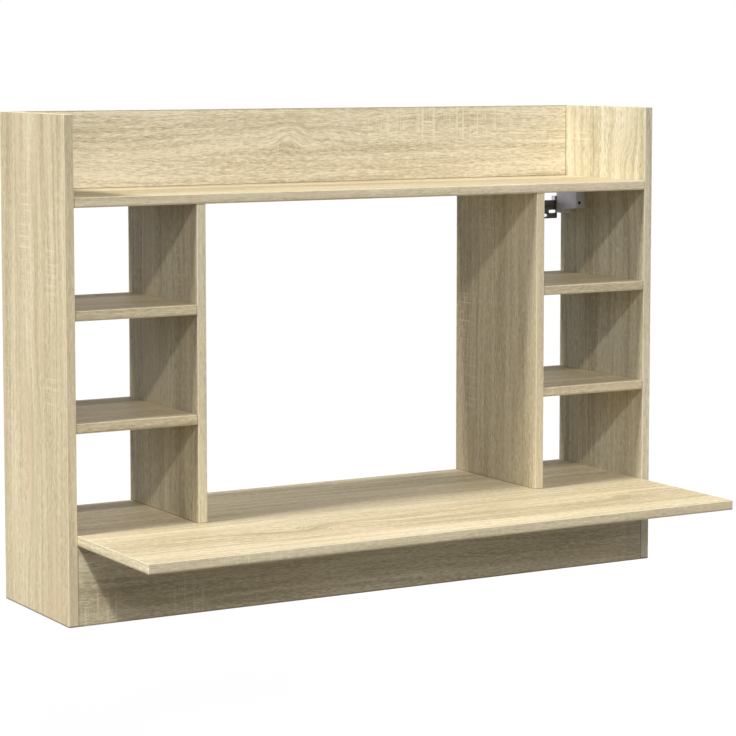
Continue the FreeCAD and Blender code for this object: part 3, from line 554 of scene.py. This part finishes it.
def satin_grey():
    finish = Finish("satin_grey_housing", {"Metallic": 0.3})
    cloud = finish.speckle(per_metre=70.0)
    texture = finish.speckle(per_metre=1500.0)
    finish.feed("Base Color", two_tone(finish, cloud, HOUSING_DARK, HOUSING_LIGHT))
    finish.feed("Roughness", 0.58 + (texture - 0.5) * 0.2)
    finish.bump(texture, strength=0.15, distance=0.05 * MM)
    return finish.material


def cap_plastic():
    finish = Finish("oak_coloured_cap", {"Specular IOR Level": 0.4})
    x, y, z = finish.axes("Object")
    streak = finish.noise(x * CAP_STREAK_ALONG, y * CAP_STREAK_ACROSS, z * CAP_STREAK_ACROSS)
    texture = finish.speckle(per_metre=1800.0, detail=1.0)
    finish.feed("Base Color", two_tone(finish, streak, OAK_DARK, OAK_BODY, CAP_STREAK_RANGE))
    finish.feed("Roughness", 0.45 + (texture - 0.5) * 0.2)
    finish.bump(texture, strength=0.15, distance=0.05 * MM)
    return finish.material


HARDWARE = {
    "beech_dowel": beech(),
    "zinc_plated_steel": metal(
        "zinc_plate", ZINC_DARK, ZINC_LIGHT, roughness=0.36, pits_per_metre=900.0),
    "zinc_casting": metal(
        "zinc_casting", CASTING_DARK, CASTING_LIGHT, roughness=0.48, pits_per_metre=700.0),
    "cap_plastic": cap_plastic(),
    "grey_housing": satin_grey(),
    "dark_plate": metal(
        "dark_plate", PLATE_DARK, PLATE_LIGHT, roughness=0.5, pits_per_metre=800.0, metallic=0.6),
    "black_screw": metal(
        "black_screw", BLACK_DARK, BLACK_LIGHT, roughness=0.38, pits_per_metre=900.0, metallic=0.9),
}

for piece in frame["record"]["subparts"]:
    node_name = piece["node"]
    if node_name in BOARDS:
        material = oak(node_name, **BOARDS[node_name])
    else:
        material = HARDWARE[piece["material_slot"]]
    for material_slot in frame["nodes"][node_name].material_slots:
        material_slot.material = material


# Floor at the height that puts the desk board where one sits
SITTING_HEIGHT = 0.74
FLOOR_SPAN = 60.0
FLOOR_COLOUR = (0.85, 0.85, 0.85)
FLOOR_BOUNCE = (0.2, 0.2, 0.2)
FLOOR_WHITE_SHARE = 0.88


def straight_on(wiring):
    """1 for rays that come straight from the camera, a mirror or glass, else 0."""
    kinds = ("Is Camera Ray", "Is Glossy Ray", "Is Transmission Ray")
    rays = [wiring.node("ShaderNodeLightPath", {}, {}, kind) for kind in kinds]
    return rays[0].most(rays[1]).most(rays[2])


def floor_finish():
    """White and shadowed as it is seen, but with little light thrown back onto the desk."""
    constants = {"Base Color": FLOOR_COLOUR, "Roughness": 1.0, "Specular IOR Level": 0.0}
    finish = Finish("pale_floor", constants)
    plain = Wire(finish, finish.shader.outputs[0])
    glow = finish.node("ShaderNodeEmission", {}, {"Color": WHITE, "Strength": 1.0})
    bounce = finish.node("ShaderNodeBsdfDiffuse", {}, {"Color": FLOOR_BOUNCE})
    shown = finish.node("ShaderNodeMixShader", {}, {0: FLOOR_WHITE_SHARE, 1: plain, 2: glow})
    mixed = finish.node("ShaderNodeMixShader", {}, {0: straight_on(finish), 1: bounce, 2: shown})
    finish.plug(finish.tree.nodes["Material Output"].inputs["Surface"], mixed)
    return finish.material


def make_floor():
    bm = bmesh.new()
    bmesh.ops.create_grid(bm, x_segments=1, y_segments=1, size=FLOOR_SPAN / 2)
    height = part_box("desk_board")[1].z - SITTING_HEIGHT
    bmesh.ops.translate(bm, verts=bm.verts, vec=(0, 0, height))
    mesh = bpy.data.meshes.new("floor")
    bm.to_mesh(mesh)
    bm.free()
    mesh.materials.append(floor_finish())
    floor = bpy.data.objects.new("floor", mesh)
    bpy.context.scene.collection.objects.link(floor)


make_floor()


# Studio light: lamps so far away that they light the whole desk evenly, the fills a little cool
AMBIENT = 0.03
WARM = (1.0, 0.99, 0.96)
COOL = (0.96, 0.99, 1.07)
SKY = (0.81, 0.97, 1.30)
LAMPS = [
    dict(name="left_key", azimuth=-88.0, elevation=50.0, spread=14.0, strength=3.7, colour=WARM),
    dict(name="front_left", azimuth=-23.0, elevation=37.0, spread=3.5, strength=1.25, colour=WHITE),
    dict(name="front", azimuth=-8.0, elevation=25.0, spread=18.0, strength=0.92, colour=COOL),
    dict(name="low_front", azimuth=0.0, elevation=2.0, spread=10.0, strength=0.23, colour=COOL),
    dict(name="right_front", azimuth=40.0, elevation=30.0, spread=20.0, strength=0.15, colour=WHITE),
    dict(name="right", azimuth=102.0, elevation=5.0, spread=20.0, strength=1.75, colour=WHITE),
    dict(name="back_left", azimuth=-150.0, elevation=8.0, spread=50.0, strength=0.45, colour=SKY),
    dict(name="back_right", azimuth=150.0, elevation=8.0, spread=50.0, strength=0.12, colour=SKY),
    dict(name="rear", azimuth=180.0, elevation=2.0, spread=30.0, strength=0.9, colour=WHITE),
]


def make_world():
    world = bpy.data.worlds.new("studio")
    world.use_nodes = True
    bpy.context.scene.world = world
    studio = Wiring(world.node_tree)
    background = world.node_tree.nodes["Background"]
    studio.plug(background.inputs["Color"], SKY)
    studio.plug(background.inputs["Strength"], AMBIENT)
    soft = Wire(studio, background.outputs[0])
    white = studio.node("ShaderNodeBackground", {}, {"Color": WHITE, "Strength": 1.0})
    mixed = studio.node("ShaderNodeMixShader", {}, {0: straight_on(studio), 1: soft, 2: white})
    studio.plug(world.node_tree.nodes["World Output"].inputs["Surface"], mixed)


def make_lamp(name, azimuth, elevation, spread, strength, colour):
    data = bpy.data.lights.new(name, "SUN")
    data.angle = math.radians(spread)
    data.energy = strength
    data.color = colour
    lamp = bpy.data.objects.new(name, data)
    turn = math.radians(azimuth)
    lift = math.radians(elevation)
    towards = Vector((math.sin(turn) * math.cos(lift), -math.cos(turn) * math.cos(lift), math.sin(lift)))
    lamp.rotation_euler = towards.to_track_quat("Z", "Y").to_euler()
    bpy.context.scene.collection.objects.link(lamp)


make_world()
for lamp in LAMPS:
    make_lamp(**lamp)


# Camera at the photograph's viewing angle, its turns in degrees and its lens in millimetres
CAMERA_PLACE = (-2.023, -3.6868, 0.2679)
CAMERA_DOWN = 5.304
CAMERA_AZIMUTH = -30.228
CAMERA_LENS = 125.05
CAMERA_SENSOR = 36.0
CAMERA_SHIFT_Y = -0.10


def make_camera():
    data = bpy.data.cameras.new("camera")
    data.sensor_width = CAMERA_SENSOR
    data.lens = CAMERA_LENS
    data.shift_y = CAMERA_SHIFT_Y
    camera = bpy.data.objects.new("camera", data)
    camera.location = CAMERA_PLACE
    camera.rotation_euler = (math.radians(90 - CAMERA_DOWN), 0, math.radians(CAMERA_AZIMUTH))
    bpy.context.scene.collection.objects.link(camera)
    bpy.context.scene.camera = camera


make_camera()
bpy.context.scene.view_settings.view_transform = "Standard"
